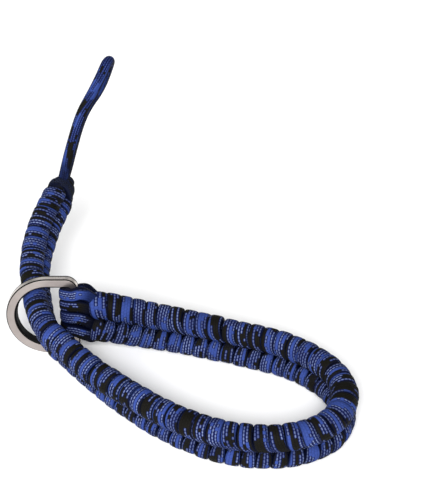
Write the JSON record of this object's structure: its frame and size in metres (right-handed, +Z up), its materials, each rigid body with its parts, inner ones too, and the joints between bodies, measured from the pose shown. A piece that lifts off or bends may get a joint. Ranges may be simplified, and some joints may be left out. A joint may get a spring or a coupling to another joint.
{
  "type": "camera wrist strap",
  "caption": "Braided cord wrist strap for a camera: a flat braid looped through a D-ring, with a thin cord loop for the camera's lug.",
  "frame": {"origin": "inside the top of the thin cord loop, where the camera's lug carries it", "axes": "+Z up, square to the level that the wrist loop lies in; the wrist loop opens along Z; +X from the D-ring towards the wrist loop's far turn"},
  "size_m": [0.1209, 0.1528, 0.072],
  "materials": {
    "braid_blue_black": "woven nylon cord, royal blue and black",
    "cord_black": "woven nylon cord",
    "cord_blue": "woven nylon cord",
    "ring_nickel": "satin nickel plate"
  },
  "bodies": {
    "root": {"braided_strap": "braid_blue_black", "end_knot": "cord_black", "d_ring": "ring_nickel", "eye_pass_1": "cord_black", "eye_pass_2": "cord_blue", "eye_pass_3": "cord_black", "eye_pass_4": "cord_blue", "tether_loop": "cord_blue"}
  },
  "joints": []
}
